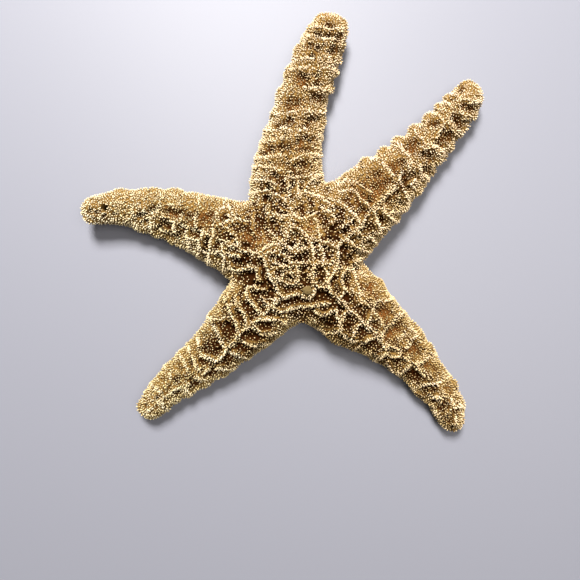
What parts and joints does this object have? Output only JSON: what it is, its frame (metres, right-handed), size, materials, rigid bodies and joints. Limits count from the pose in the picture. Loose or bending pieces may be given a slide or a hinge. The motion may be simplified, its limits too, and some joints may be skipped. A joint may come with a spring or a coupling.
{
  "type": "dried starfish",
  "caption": "Dried starfish lying flat, with tapered bent arms, a ladder of spiny ridges over its upper side, a raised ring on its disc and grooves beneath, kept as an ornament.",
  "frame": {"origin": "on the plane of the sole, below the middle of the outline's box", "axes": "+Z out of the upper side, +Y towards the tip of the longest arm, +X to its right seen from above"},
  "size_m": [0.211, 0.221, 0.0278],
  "materials": {
    "skeleton": "dry, chalky and rough: cream spinelets over tan and rust-brown skin"
  },
  "bodies": {
    "root": {"starfish": "skeleton"}
  },
  "joints": []
}
